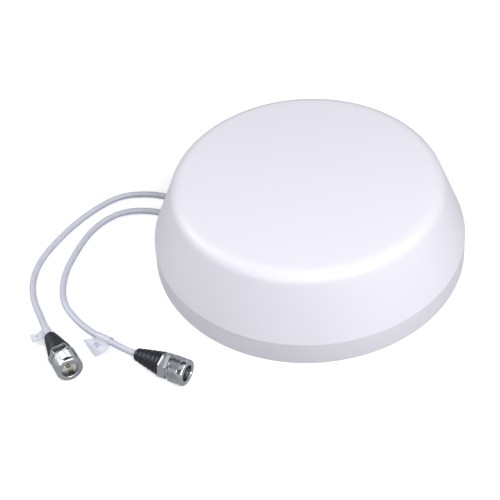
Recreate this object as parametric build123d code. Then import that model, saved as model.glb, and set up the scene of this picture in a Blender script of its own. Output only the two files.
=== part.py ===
"""Two-port ceiling antenna of a cellular signal booster: a white dome on a flat base, with two pigtails.

Millimetres. +Z is up, away from the surface that the base lies on. The origin is the middle of the base's
underside, and the pigtails leave the rim along -X.
"""

from build123d import *
import os
from math import atan, cos, pi, radians, sin, tan

# Dome
BASE_R = 100.0
BAND_H = 15.75
BAND_LEAN = 0.9
SLOPE_LEAN = 16.7
TOP_Z = 55.8
CROWN = 1.5
CORNER_R = 10.0
CREASE_R = 1.2
WALL = 2.5
RIM_R = 0.6

# Base plate, with the well and the trough that the pigtails lie in
PLATE_T = 3.0
PLATE_GAP = 0.3
PLATE_WALL = 2.5
WELL_FRONT = 22.0
WELL_BACK = -26.0
WELL_W = 40.0
WELL_H = 13.0
WELL_CORNER_R = 4.0
TROUGH_W = 26.0
TROUGH_H = 8.0
TROUGH_CORNER_R = 2.5

# Screws that hold the dome to the plate
DOME_SCREWS = 6
DRIVE_W = 1.0
DRIVE_L = 4.0
DRIVE_DEPTH = 0.8
DOME_SCREW_INSET = 11.0
DOME_BOSS_R = 4.0
SCREW_R = 1.5
SCREW_HEAD_R = 2.9
SCREW_HEAD_H = 1.7
SCREW_LENGTH = 12.0
SCREW_CLEARANCE = 0.1

# Brass inserts in the underside
INSERTS = 4
INSERT_PCD = 120.0
INSERT_R = 2.8
INSERT_TAP_R = 1.65
INSERT_H = 8.0
INSERT_BOSS_R = 5.0
INSERT_BOSS_H = 10.0

# Ground plane on four pillars of the plate
GROUND_EDGE_GAP = 5.0
GROUND_T = 1.0
GROUND_LIFT = 0.5
PILLAR_R = 4.0
PILLAR_INSET = 10.0
PILLAR_ANGLE = 20.0
GROUND_SCREW_LENGTH = 8.0
PAN_HEAD_R = 2.75
PAN_HEAD_H = 1.8
PAN_DRIVE_W = 0.8
PAN_DRIVE_L = 3.2
PAN_DRIVE_DEPTH = 0.9

# Radiators and the wall between them
RADIATOR_Y = 42.0
RADIATOR_HEADROOM = 8.3
SHEET_T = 0.8
BLADE_FOOT_W = 4.0
BLADE_TOP_W = 36.0
FEED_GAP = 2.0
HAT_W = 40.0
HAT_L = 28.0
HAT_CORNER_R = 3.0
STRAP_W = 8.0
STRAP_FOOT = 8.0
POST_R = 3.0
POST_X = 14.0
ISOLATOR_L = 120.0
ISOLATOR_H = 24.0
ISOLATOR_FOOT = 10.0
ISOLATOR_RIVET_X = 45.0
RIVET_R = 1.2
RIVET_HEAD_R = 2.4
RIVET_HEAD_H = 0.8

# Feeds under the ground plane
FEED_BLOCK_L = 14.0
FEED_BLOCK_W = 10.0
FEED_BLOCK_GAP = 2.0
BLOCK_CHAMFER = 0.8
FEED_PIN_R = 0.65
BUSH_R = 2.5
BUSH_LIP_R = 3.4
BUSH_LIP_H = 0.8

# Cable and its glands
CABLE_R = 2.0
SOCKET_GAP = 0.1
SOCKET_DEPTH = 4.0
GLAND_Y = 8.0
GLAND_Z = 8.0
GLAND_R = 3.4
GLAND_FLANGE_R = 4.5
GLAND_FLANGE_T = 3.0
GLAND_NOSE = 2.0
GLAND_TAIL = 5.0
NUT_FLATS = 8.4
NUT_T = 3.0
CLIP_L = 6.0
CLIP_WALL = 1.6
CLIP_GAP = 0.6

# Connector, measured along its axis from the tail of the boot
BOOT_L = 18.5
BOOT_TAIL_R = 3.0
BOOT_MOUTH_R = 6.9
BOOT_RIBS = 6
BOOT_RIB_H = 0.45
BOOT_WEB = 1.0
FERRULE_R = 3.5
FERRULE_WALL = 0.9
FERRULE_L = 8.5
NECK_R = 4.5
NECK_L = 4.0
FIT_GAP = 0.05
HEX_FLATS = 14.0
HEX_L = 4.8
HEX_CHAMFER = 0.5
GROOVE_R = 6.8
GROOVE_L = 1.0
THREAD_R = 7.9375
THREAD_PITCH = 1.058
THREAD_TURNS = 7
THREAD_DEPTH = 0.6
LIP_L = 3.0
LIP_CHAMFER = 0.8
BORE_R = 4.9
BORE_DEPTH = 9.0
MOUTH_CHAMFER = 0.4
INSULATOR_L = 5.0
CONTACT_R = 1.5
CONTACT_HOLE_R = 0.85
CONTACT_HOLE_L = 5.0
CONTACT_RECESS = 3.0
CONTACT_SEAT = 1.0
SLOT_W = 0.4
SLOT_L = 3.5

# Flag labels
FILM_T = 0.3
FILM_GAP = 0.25

# The two connectors as they lie: the middle of the mating face, and the axis's heading, rise and roll, in degrees
CONNECTOR_FACES = [(-90.3, -150.8, 9.35), (-25.4, -129.1, THREAD_R)]
CONNECTOR_HEADINGS = [-36.4, -4.2]
CONNECTOR_RISES = [7.3, 0.0]
CONNECTOR_ROLLS = [0.0, 13.0]

# Each pigtail's route from the well to the point where it bends into its connector's axis
FREE_ROUTES = [
    [
        (6.0, 8.0, 8.0),
        (-12.0, 8.2, 4.4),
        (-33.0, 7.6, CABLE_R),
        (-55.0, 7.2, CABLE_R),
        (-77.0, 7.6, CABLE_R),
        (-98.6, 7.7, CABLE_R),
        (-119.5, 7.0, CABLE_R),
        (-139.2, -1.5, CABLE_R),
        (-149.5, -19.1, CABLE_R),
        (-155.7, -37.3, CABLE_R),
        (-159.0, -55.8, CABLE_R),
        (-160.1, -74.2, CABLE_R),
        (-156.0, -91.5, CABLE_R),
        (-145.5, -107.1, CABLE_R),
        (-134.2, -116.7, 2.5),
    ],
    [
        (6.0, -8.0, 8.0),
        (-12.0, -8.2, 4.4),
        (-33.0, -7.6, CABLE_R),
        (-54.0, -7.3, CABLE_R),
        (-75.0, -7.8, CABLE_R),
        (-95.9, -7.8, CABLE_R),
        (-115.4, -9.3, CABLE_R),
        (-130.5, -16.4, CABLE_R),
        (-138.1, -28.1, CABLE_R),
        (-141.9, -41.7, CABLE_R),
        (-141.4, -59.4, CABLE_R),
        (-138.5, -80.7, CABLE_R),
        (-127.5, -101.8, CABLE_R),
        (-111.4, -112.0, CABLE_R),
        (-96.3, -118.0, 2.9),
        (-82.5, -121.4, 5.4),
    ],
]
LAST_RUNS = [9.0, 8.0]

# Flag labels: the run of the route that each is on, how far along that run, its width on the cable,
# its two free corners as (along the cable, out from it), and how far it droops
FLAG_RUNS = [16, 15]
FLAG_SHARES = [0.35, 0.8]
FLAG_WIDTHS = [7.6, 10.6]
FLAG_TIPS = [[(-1.1, 10.5), (-7.1, 9.7)], [(1.3, 12.0), (-11.1, 7.9)]]
FLAG_DROOPS = [15.0, 14.0]

# The inner coaxes from the glands to the feeds, for the +Y side
INNER_ROUTE = [
    (40.5, GLAND_Y, GLAND_Z),
    (47.5, 18.5, GLAND_Z),
    (45.0, 31.0, GLAND_Z),
    (34.0, 39.5, GLAND_Z),
    (20.5, RADIATOR_Y, GLAND_Z),
]

SIDES = [1, -1]

connector_length = BOOT_L + HEX_L + GROOVE_L + THREAD_TURNS * THREAD_PITCH + LIP_L
band_draft = atan(BAND_LEAN / BAND_H)
band_top_r = BASE_R - BAND_LEAN
top_r = band_top_r - SLOPE_LEAN
radiator_top = TOP_Z - WALL - RADIATOR_HEADROOM
ground_z = WELL_H + PLATE_WALL + GROUND_LIFT
ground_top = ground_z + GROUND_T
dome_screw_r = BASE_R - DOME_SCREW_INSET
ground_r = dome_screw_r - DOME_BOSS_R - GROUND_EDGE_GAP


def inner_radius(z):
    """Radius of the inside of the dome's band at a height."""
    return BASE_R - z * tan(band_draft) - WALL / cos(band_draft)


plate_r = inner_radius(PLATE_T) - PLATE_GAP


# ---------------------------------------------------------------- helpers


def box(x, y, z):
    """Box between two values along each axis."""
    size = [b - a for a, b in (x, y, z)]
    middle = [(a + b) / 2 for a, b in (x, y, z)]
    return Pos(*middle) * Box(*size)


def post(x, y, radius, z0, z1):
    """Upright cylinder."""
    return Pos(x, y, (z0 + z1) / 2) * Cylinder(radius, z1 - z0)


def turned(*outline):
    """Solid turned about X from points given as (distance along X, radius)."""
    return revolve(make_face(Polyline(*outline, close=True)), Axis.X)


def rod(radius, x0, x1):
    """Cylinder along X."""
    return turned((x0, 0), (x1, 0), (x1, radius), (x0, radius))


def on_circle(count, radius, first):
    """Points evenly round the Z axis."""
    angles = [radians(first + 360 * i / count) for i in range(count)]
    return [(radius * cos(a), radius * sin(a)) for a in angles]


def tube(points, radius, name):
    """Round cable along straight runs that are joined by tangent arcs."""
    corners = [Vector(*p) for p in points]
    radii = []
    for before, here, after in zip(corners, corners[1:], corners[2:]):
        turn = radians((here - before).get_angle(after - here))
        run = min((here - before).length, (after - here).length)
        radii.append(0.45 * run / tan(turn / 2))
    path = FilletPolyline(*points, radius=radii)
    cable = sweep(Plane(path @ 0, z_dir=path % 0) * Circle(radius), path)
    share = cable.volume / (pi * radius**2 * path.length)
    print(f"{name}: length {path.length:.1f}, least radius {min(radii):.1f}, volume share {share:.4f}")
    print("  radii", [round(r, 1) for r in radii])
    return cable


def save(name, *solids):
    """Writes one node, which may hold several equal solids."""
    node = solids[0] if len(solids) == 1 else Compound(children=list(solids))
    export_step(node, f"parts/{name}.step")


# ---------------------------------------------------------------- housing


def dome_solid(inset):
    """The dome's outer shape, shrunk by inset all round and cut off at the floor."""
    foot_r = BASE_R + BAND_H * tan(band_draft)
    right = [(foot_r, -BAND_H), (band_top_r, BAND_H), (top_r, TOP_Z)]
    left = [(-x, z) for x, z in right]
    outline = [
        Line(left[0], right[0]),
        Line(right[0], right[1]),
        Line(right[1], right[2]),
        ThreePointArc(right[2], (0, TOP_Z + CROWN), left[2]),
        Line(left[2], left[1]),
        Line(left[1], left[0]),
    ]
    face = make_face(outline)
    if inset:
        face = offset(face, -inset, kind=Kind.INTERSECTION)
    levels = face.vertices().sort_by(Axis.Y)
    face = fillet(levels[-2:], CORNER_R - inset)
    if inset < CREASE_R:
        crease = face.vertices().filter_by_position(Axis.Y, BAND_H - WALL, BAND_H + WALL)
        face = fillet(crease, CREASE_R - inset)
    half = face & Pos(BASE_R, 0) * Rectangle(2 * BASE_R, 4 * TOP_Z)
    whole = revolve(Plane.XZ * half, Axis.Z)
    return whole & box((-2 * BASE_R, 2 * BASE_R), (-2 * BASE_R, 2 * BASE_R), (0, 2 * TOP_Z))


def notch_cut(length):
    """The trough's clear section from the well out past the rim."""
    cut = box((-length, WELL_BACK + 1), (-TROUGH_W / 2, TROUGH_W / 2), (-1, TROUGH_H))
    upper = cut.edges().filter_by(Axis.X).group_by(Axis.Z)[-1]
    return fillet(upper, TROUGH_CORNER_R)


def radome():
    outer = dome_solid(0)
    rim = outer.edges().filter_by(GeomType.CIRCLE).sort_by(Axis.Z)[0]
    shell = fillet(rim, RIM_R) - dome_solid(WALL)
    body_of_bosses = dome_solid(WALL / 2)
    for x, y in on_circle(DOME_SCREWS, dome_screw_r, 30):
        shell += post(x, y, DOME_BOSS_R, PLATE_T, TOP_Z) & body_of_bosses
    for x, y in on_circle(DOME_SCREWS, dome_screw_r, 30):
        shell -= post(x, y, SCREW_R + SCREW_CLEARANCE, 0, SCREW_LENGTH + 1)
    return shell - notch_cut(BASE_R + 5)


def base_plate():
    disc = post(0, 0, plate_r, 0, PLATE_T)
    disc = chamfer(disc.edges().sort_by(Axis.Z)[0], RIM_R)
    well_out = box(
        (WELL_BACK - PLATE_WALL, WELL_FRONT + PLATE_WALL),
        (-WELL_W / 2 - PLATE_WALL, WELL_W / 2 + PLATE_WALL),
        (0, WELL_H + PLATE_WALL),
    )
    well_out = fillet(well_out.edges().filter_by(Axis.Z), WELL_CORNER_R + PLATE_WALL)
    trough_half = TROUGH_W / 2 + PLATE_WALL
    trough_out = box((-BASE_R, WELL_BACK), (-trough_half, trough_half), (0, TROUGH_H + PLATE_WALL))
    trough_end = inner_radius(TROUGH_H + PLATE_WALL) - PLATE_GAP
    trough_out &= post(0, 0, trough_end, -1, 2 * WELL_H)
    well_in = box((WELL_BACK, WELL_FRONT), (-WELL_W / 2, WELL_W / 2), (-1, WELL_H))
    well_in = fillet(well_in.edges().filter_by(Axis.Z), WELL_CORNER_R)
    plate = disc + well_out + trough_out
    for x, y in on_circle(INSERTS, INSERT_PCD / 2, 45):
        plate += post(x, y, INSERT_BOSS_R, 0, INSERT_BOSS_H)
    for x, y in pillar_places():
        plate += post(x, y, PILLAR_R, 0, ground_z)
    plate -= well_in
    plate -= notch_cut(BASE_R + 5)
    for side in SIDES:
        bore = rod(GLAND_R + FIT_GAP, WELL_FRONT - 1, WELL_FRONT + PLATE_WALL + 1)
        plate -= Pos(0, side * GLAND_Y, GLAND_Z) * bore
    for x, y in on_circle(INSERTS, INSERT_PCD / 2, 45):
        plate -= post(x, y, INSERT_R, -1, INSERT_H)
    for x, y in pillar_places():
        top = ground_z - GROUND_SCREW_LENGTH
        plate -= post(x, y, SCREW_R + SCREW_CLEARANCE, top, ground_z + 1)
    for x, y in on_circle(DOME_SCREWS, dome_screw_r, 30):
        plate -= Pos(x, y, 0) * countersunk(SCREW_CLEARANCE)
    return plate


def pillar_places():
    angles = [PILLAR_ANGLE, 180 - PILLAR_ANGLE, 180 + PILLAR_ANGLE, -PILLAR_ANGLE]
    reach = ground_r - PILLAR_INSET
    return [(reach * cos(radians(a)), reach * sin(radians(a))) for a in angles]


def countersunk(grow):
    """Countersunk screw that points up from the floor, made larger all round by grow."""
    head = SCREW_HEAD_R + grow
    shank = SCREW_R + grow
    outline = [(0, 0), (head, 0), (shank, SCREW_HEAD_H), (shank, SCREW_LENGTH), (0, SCREW_LENGTH)]
    return revolve(Plane.XZ * make_face(Polyline(*outline, close=True)), Axis.Z)


def dome_screw():
    slot = box((-DRIVE_W / 2, DRIVE_W / 2), (-DRIVE_L / 2, DRIVE_L / 2), (-1, DRIVE_DEPTH))
    return countersunk(0) - slot - Rot(0, 0, 90) * slot


def threaded_insert():
    sleeve = post(0, 0, INSERT_R, 0, INSERT_H) - post(0, 0, INSERT_TAP_R, -1, INSERT_H + 1)
    return sleeve


# ---------------------------------------------------------------- antenna inside


def ground_plane():
    disc = post(0, 0, ground_r, ground_z, ground_top)
    for x, y in pillar_places():
        disc -= post(x, y, SCREW_R + SCREW_CLEARANCE, 0, TOP_Z)
    for x, y in rivet_places():
        disc -= post(x, y, RIVET_R + FIT_GAP, 0, TOP_Z)
    for side in SIDES:
        disc -= post(0, side * RADIATOR_Y, BUSH_R + FIT_GAP, 0, TOP_Z)
    return disc


def rivet_places():
    strap = RADIATOR_Y + HAT_L / 2 + STRAP_FOOT / 2
    foot = ISOLATOR_FOOT / 2
    return [(0, strap), (0, -strap), (ISOLATOR_RIVET_X, foot), (-ISOLATOR_RIVET_X, foot)]


def ground_screw():
    shank = post(0, 0, SCREW_R, ground_top - GROUND_SCREW_LENGTH, ground_top)
    head = post(0, 0, PAN_HEAD_R, ground_top, ground_top + PAN_HEAD_H)
    head = fillet(head.edges().sort_by(Axis.Z)[-1], PAN_HEAD_H / 2)
    top = ground_top + PAN_HEAD_H
    half_w, half_l = PAN_DRIVE_W / 2, PAN_DRIVE_L / 2
    slot = box((-half_w, half_w), (-half_l, half_l), (top - PAN_DRIVE_DEPTH, top + 1))
    return shank + head - slot - Rot(0, 0, 90) * slot


def rivet(sheet_t):
    """Rivet that holds a sheet on the ground plane, with its head up."""
    top = ground_top + sheet_t
    body = post(0, 0, RIVET_R, ground_z, top)
    head = post(0, 0, RIVET_HEAD_R, top, top + RIVET_HEAD_H)
    tail = post(0, 0, RIVET_HEAD_R, ground_z - RIVET_HEAD_H, ground_z)
    return body + fillet(head.edges().sort_by(Axis.Z)[-1], RIVET_HEAD_H / 2) + tail


def radiator(side):
    """Bent sheet: a blade that widens from the feed, a flat hat, and a strap down to the ground plane."""
    foot_z = ground_top + FEED_GAP
    hat_z = radiator_top - SHEET_T
    blade_outline = [
        (-BLADE_FOOT_W / 2, foot_z),
        (BLADE_FOOT_W / 2, foot_z),
        (BLADE_TOP_W / 2, hat_z),
        (-BLADE_TOP_W / 2, hat_z),
    ]
    blade = extrude(Plane.XZ * make_face(Polyline(*blade_outline, close=True)), SHEET_T / 2, both=True)
    hat = box((-HAT_W / 2, HAT_W / 2), (-HAT_L / 2, HAT_L / 2), (hat_z, radiator_top))
    hat = fillet(hat.edges().filter_by(Axis.Z), HAT_CORNER_R)
    edge = HAT_L / 2
    strap = box((-STRAP_W / 2, STRAP_W / 2), (edge - SHEET_T, edge), (ground_top, radiator_top))
    foot_y = (edge - SHEET_T, edge + STRAP_FOOT)
    foot = box((-STRAP_W / 2, STRAP_W / 2), foot_y, (ground_top, ground_top + SHEET_T))
    sheet = blade + hat + strap + foot
    sheet -= post(0, edge + STRAP_FOOT / 2, RIVET_R + FIT_GAP, 0, TOP_Z)
    placed = Pos(0, RADIATOR_Y, 0) * sheet
    return placed if side > 0 else Rot(0, 0, 180) * placed


def radiator_posts():
    y = RADIATOR_Y + HAT_L / 4
    top = radiator_top - SHEET_T
    return [post(sx * POST_X, sy * y, POST_R, ground_top, top) for sx in SIDES for sy in SIDES]


def isolator_wall():
    half = ISOLATOR_L / 2
    wall = box((-half, half), (-SHEET_T, 0), (ground_top, ground_top + ISOLATOR_H))
    foot = box((-half, half), (-SHEET_T, ISOLATOR_FOOT), (ground_top, ground_top + SHEET_T))
    sheet = wall + foot
    for x, y in rivet_places()[2:]:
        sheet -= post(x, y, RIVET_R + FIT_GAP, 0, TOP_Z)
    return sheet


def feed_block(side):
    """Clamp under the ground plane that holds the end of the inner coax."""
    half_l, half_w = FEED_BLOCK_L / 2, FEED_BLOCK_W / 2
    block = box((-half_l, half_l), (-half_w, half_w), (PLATE_T + FEED_BLOCK_GAP, ground_z))
    block = chamfer(block.edges().group_by(Axis.Z)[0], BLOCK_CHAMFER)
    socket = Pos(0, 0, GLAND_Z) * rod(CABLE_R + SOCKET_GAP, half_l - SOCKET_DEPTH, half_l + 1)
    return Pos(0, side * RADIATOR_Y, 0) * (block - socket)


def feed_pin(side):
    return post(0, side * RADIATOR_Y, FEED_PIN_R, ground_z, ground_top + FEED_GAP)


def feed_bush(side):
    y = side * RADIATOR_Y
    bush = post(0, y, BUSH_R, ground_z, ground_top)
    bush += post(0, y, BUSH_LIP_R, ground_top, ground_top + BUSH_LIP_H)
    return bush - post(0, y, FEED_PIN_R + FIT_GAP, 0, TOP_Z)


def inner_coax(side, name):
    start = (WELL_FRONT + PLATE_WALL + GLAND_TAIL - SOCKET_DEPTH, GLAND_Y, GLAND_Z)
    end = (FEED_BLOCK_L / 2 - SOCKET_DEPTH, RADIATOR_Y, GLAND_Z)
    points = [(x, side * y, z) for x, y, z in [start, *INNER_ROUTE, end]]
    return tube(points, CABLE_R, name)


def coax_clip(side):
    """Saddle on the plate over the longest run of the inner coax."""
    (x0, y0, _), (x1, y1, _) = INNER_ROUTE[1:3]
    width = 2 * (CABLE_R + CLIP_GAP + CLIP_WALL)
    top = GLAND_Z + CABLE_R + CLIP_GAP + CLIP_WALL
    block = box((-CLIP_L / 2, CLIP_L / 2), (-width / 2, width / 2), (PLATE_T, top))
    block = fillet(block.edges().filter_by(Axis.X).group_by(Axis.Z)[-1], CLIP_WALL)
    block -= Pos(0, 0, GLAND_Z) * rod(CABLE_R + CLIP_GAP, -CLIP_L, CLIP_L)
    heading = (Vector(x1, y1) - Vector(x0, y0)).get_signed_angle(Vector(1, 0), Vector(0, 0, -1))
    clip = Pos((x0 + x1) / 2, (y0 + y1) / 2, 0) * Rot(0, 0, heading) * block
    return clip if side > 0 else mirror(clip, Plane.XZ)


# ---------------------------------------------------------------- glands


def hexagon(flats, x0, x1):
    """Hexagonal bar along X with a flat facing down."""
    section = Plane.YZ * RegularPolygon(flats / 2, 6, major_radius=False)
    return Pos(x0, 0, 0) * extrude(section, x1 - x0)


def gland(side):
    """Strain relief in the well's front wall, with a socket for the cable at each end."""
    nose = WELL_FRONT - GLAND_FLANGE_T - GLAND_NOSE
    tail = WELL_FRONT + PLATE_WALL + GLAND_TAIL
    body = rod(GLAND_R, nose, tail)
    body += rod(GLAND_FLANGE_R, WELL_FRONT - GLAND_FLANGE_T, WELL_FRONT)
    body = fillet(body.edges().filter_by(GeomType.CIRCLE).sort_by(Axis.X)[0], GLAND_NOSE / 2)
    body -= rod(CABLE_R + SOCKET_GAP, nose - 1, nose + SOCKET_DEPTH)
    body -= rod(CABLE_R + SOCKET_GAP, tail - SOCKET_DEPTH, tail + 1)
    return Pos(0, side * GLAND_Y, GLAND_Z) * body


def gland_nut(side):
    start = WELL_FRONT + PLATE_WALL
    nut = hexagon(NUT_FLATS, start, start + NUT_T) - rod(GLAND_R + FIT_GAP, start - 1, start + NUT_T + 1)
    return Pos(0, side * GLAND_Y, GLAND_Z) * nut


# ---------------------------------------------------------------- connectors and cords

hex_start = BOOT_L
groove_start = hex_start + HEX_L
thread_start = groove_start + GROOVE_L
lip_start = thread_start + THREAD_TURNS * THREAD_PITCH
ferrule_start = SOCKET_DEPTH + BOOT_WEB
neck_start = BOOT_L - NECK_L


def boot():
    """Ribbed sleeve over the joint of the cable and the connector."""
    rib = BOOT_L / BOOT_RIBS
    outline = [(0, 0), (0, BOOT_TAIL_R)]
    for i in range(BOOT_RIBS):
        middle = BOOT_TAIL_R + (BOOT_MOUTH_R - BOOT_TAIL_R) * (i + 0.5) / BOOT_RIBS
        end = BOOT_TAIL_R + (BOOT_MOUTH_R - BOOT_TAIL_R) * (i + 1) / BOOT_RIBS
        outline += [((i + 0.3) * rib, middle + BOOT_RIB_H), ((i + 0.7) * rib, middle + BOOT_RIB_H)]
        outline += [((i + 1) * rib, end)]
    outline += [(BOOT_L, 0)]
    sleeve = turned(*outline)
    sleeve -= rod(CABLE_R + SOCKET_GAP, -1, SOCKET_DEPTH)
    sleeve -= rod(FERRULE_R + FIT_GAP, ferrule_start, neck_start)
    return sleeve - rod(NECK_R + FIT_GAP, neck_start, BOOT_L + 1)


def crimp_ferrule():
    ring = rod(FERRULE_R, ferrule_start, neck_start)
    return ring - rod(FERRULE_R - FERRULE_WALL, ferrule_start - 1, neck_start + 1)


def jack_body():
    """Hexagon, groove, thread and lip in one turned piece, with the stem that the ferrule is crimped on."""
    stem = rod(FERRULE_R - FERRULE_WALL - FIT_GAP, ferrule_start, neck_start)
    neck = rod(NECK_R, neck_start, hex_start)
    bar = hexagon(HEX_FLATS, hex_start, groove_start)
    corner_r = HEX_FLATS / 2 / cos(pi / 6)
    slope = HEX_CHAMFER / 2
    bar &= turned(
        (hex_start, 0),
        (hex_start, corner_r - HEX_CHAMFER),
        (hex_start + slope, corner_r),
        (groove_start - slope, corner_r),
        (groove_start, corner_r - HEX_CHAMFER),
        (groove_start, 0),
    )
    barrel = [(groove_start, 0), (groove_start, GROOVE_R), (thread_start, GROOVE_R)]
    for i in range(THREAD_TURNS):
        x = thread_start + i * THREAD_PITCH
        barrel += [(x, THREAD_R - THREAD_DEPTH), (x + THREAD_PITCH / 2, THREAD_R)]
    barrel += [(lip_start, THREAD_R - THREAD_DEPTH), (lip_start + LIP_CHAMFER, THREAD_R)]
    barrel += [(connector_length - LIP_CHAMFER, THREAD_R), (connector_length, THREAD_R - LIP_CHAMFER)]
    barrel += [(connector_length, 0)]
    bore_end = connector_length - BORE_DEPTH - INSULATOR_L
    bore = turned(
        (bore_end, 0),
        (bore_end, BORE_R),
        (connector_length - MOUTH_CHAMFER, BORE_R),
        (connector_length + 1, BORE_R + MOUTH_CHAMFER + 1),
        (connector_length + 1, 0),
    )
    return stem + neck + bar + turned(*barrel) - bore


def jack_insulator():
    front = connector_length - BORE_DEPTH
    disc = rod(BORE_R - FIT_GAP, front - INSULATOR_L, front)
    return disc - rod(CONTACT_R + FIT_GAP, front - INSULATOR_L + CONTACT_SEAT, front + 1)


def jack_contact():
    back = connector_length - BORE_DEPTH - INSULATOR_L + CONTACT_SEAT
    tip = connector_length - CONTACT_RECESS
    pin = rod(CONTACT_R, back, tip) - rod(CONTACT_HOLE_R, tip - CONTACT_HOLE_L, tip + 1)
    slot = box((tip - SLOT_L, tip + 1), (-SLOT_W / 2, SLOT_W / 2), (-2 * CONTACT_R, 2 * CONTACT_R))
    return pin - slot - Rot(90, 0, 0) * slot


def placed(index, solid):
    """Moves a piece from the connector's own axis to where that connector lies."""
    turn = Rot(0, 0, CONNECTOR_HEADINGS[index]) * Rot(0, -CONNECTOR_RISES[index], 0)
    turn *= Rot(CONNECTOR_ROLLS[index], 0, 0)
    return Pos(*CONNECTOR_FACES[index]) * turn * Pos(-connector_length, 0, 0) * solid


def axis_point(index, distance):
    """Point on the connector's axis, at a distance behind the boot's tail."""
    heading, rise = radians(CONNECTOR_HEADINGS[index]), radians(CONNECTOR_RISES[index])
    back = connector_length + distance
    x, y, z = CONNECTOR_FACES[index]
    level = back * cos(rise)
    return (x - level * cos(heading), y - level * sin(heading), z - back * sin(rise))


def cord_route(index):
    """Points of a pigtail from its gland to its boot."""
    start = (WELL_FRONT - GLAND_FLANGE_T - GLAND_NOSE + SOCKET_DEPTH, SIDES[index] * GLAND_Y, GLAND_Z)
    bend = axis_point(index, LAST_RUNS[index])
    return [start, *FREE_ROUTES[index], bend, axis_point(index, -SOCKET_DEPTH)]


def flag_label(index):
    """Film wrapped round the cable, with its two ends stuck together as a flag."""
    route = [Vector(*p) for p in cord_route(index)]
    a, b = route[FLAG_RUNS[index]], route[FLAG_RUNS[index] + 1]
    middle = a + (b - a) * FLAG_SHARES[index]
    along = (b - a).normalized()
    out = Vector(along.Y, -along.X, 0).normalized()
    half = FLAG_WIDTHS[index] / 2
    inner = CABLE_R + FILM_GAP
    loop = rod(inner + FILM_T, -half, half) - rod(inner, -half - 1, half + 1)
    root = inner + FILM_T / 2
    outline = Polyline((-half, root), (half, root), *FLAG_TIPS[index], close=True)
    flag = extrude(make_face(outline), FILM_T / 2, both=True)
    flag = Rot(FLAG_DROOPS[index], 0, 0) * flag
    return Plane(middle, x_dir=along, z_dir=along.cross(out)) * (loop + flag)


os.makedirs("parts", exist_ok=True)

dome_screw_places = on_circle(DOME_SCREWS, dome_screw_r, 30)
insert_places = on_circle(INSERTS, INSERT_PCD / 2, 45)

save("radome", radome())
save("base_plate", base_plate())
save("dome_screws", *[Pos(x, y, 0) * dome_screw() for x, y in dome_screw_places])
save("threaded_inserts", *[Pos(x, y, 0) * threaded_insert() for x, y in insert_places])
save("ground_plane", ground_plane())
save("ground_plane_screws", *[Pos(x, y, 0) * ground_screw() for x, y in pillar_places()])
save("rivets", *[Pos(x, y, 0) * rivet(SHEET_T) for x, y in rivet_places()])
save("radiator_posts", *radiator_posts())
save("isolator_wall", isolator_wall())
save("coax_clips", *[coax_clip(side) for side in SIDES])
for index, side in enumerate(SIDES):
    number = index + 1
    save(f"radiator_{number}", radiator(side))
    save(f"feed_block_{number}", feed_block(side))
    save(f"feed_pin_{number}", feed_pin(side))
    save(f"feed_bush_{number}", feed_bush(side))
    save(f"inner_coax_{number}", inner_coax(side, f"inner_coax_{number}"))
    save(f"gland_{number}", gland(side))
    save(f"gland_nut_{number}", gland_nut(side))
    save(f"cord_{number}", tube(cord_route(index), CABLE_R, f"cord_{number}"))
    save(f"flag_label_{number}", flag_label(index))
    save(f"boot_{number}", placed(index, boot()))
    save(f"crimp_ferrule_{number}", placed(index, crimp_ferrule()))
    save(f"jack_body_{number}", placed(index, jack_body()))
    save(f"jack_insulator_{number}", placed(index, jack_insulator()))
    save(f"jack_contact_{number}", placed(index, jack_contact()))
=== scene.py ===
# %% [markdown]
# # A two-port ceiling antenna
# This is the indoor antenna of a cellular signal booster: a shallow white dome on a flat base, with two white
# coaxial pigtails that lie on the table and end in threaded connectors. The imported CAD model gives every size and
# place, in metres with +Z up. This notebook gives it its looks: the visible pieces are modelled again with fine,
# rounded meshes, and everything gets a material that is named for what the real piece is made of.

import math

import bmesh
import bpy
from mathutils import Matrix, Quaternion, Vector


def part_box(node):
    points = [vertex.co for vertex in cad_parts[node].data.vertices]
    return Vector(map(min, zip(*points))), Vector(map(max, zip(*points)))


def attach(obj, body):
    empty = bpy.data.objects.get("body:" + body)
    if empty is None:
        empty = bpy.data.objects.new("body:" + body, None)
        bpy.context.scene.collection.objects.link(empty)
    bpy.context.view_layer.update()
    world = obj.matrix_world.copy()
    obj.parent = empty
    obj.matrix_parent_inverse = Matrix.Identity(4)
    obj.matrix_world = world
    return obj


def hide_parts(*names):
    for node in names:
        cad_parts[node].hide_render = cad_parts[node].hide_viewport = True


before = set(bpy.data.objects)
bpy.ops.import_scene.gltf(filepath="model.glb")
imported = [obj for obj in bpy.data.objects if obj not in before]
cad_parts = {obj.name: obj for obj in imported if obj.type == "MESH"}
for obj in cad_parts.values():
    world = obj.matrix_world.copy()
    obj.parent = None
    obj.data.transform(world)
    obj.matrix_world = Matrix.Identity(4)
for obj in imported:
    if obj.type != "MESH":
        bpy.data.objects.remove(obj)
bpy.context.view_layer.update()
print("nodes in the frame:", len(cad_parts))

# %% [markdown]
# ## The camera
# A product shot is taken from a little above, with a longish lens so that the round base doesn't look bulged.
# The camera stands on a ray from the middle of the base, given by its azimuth, elevation and distance, looks at
# a point left of the base so that the pigtails are in the picture too, and is rolled by a few degrees.

# %% Place the camera
MM = 0.001
CAMERA_AZIMUTH = math.radians(22.0)
CAMERA_ELEVATION = math.radians(45.25)
CAMERA_DISTANCE = 0.604
CAMERA_AIM = Vector((-0.0333, -0.0200, 0.0))
CAMERA_ROLL = math.radians(-6.09)
LENS_MM = 66.2

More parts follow.
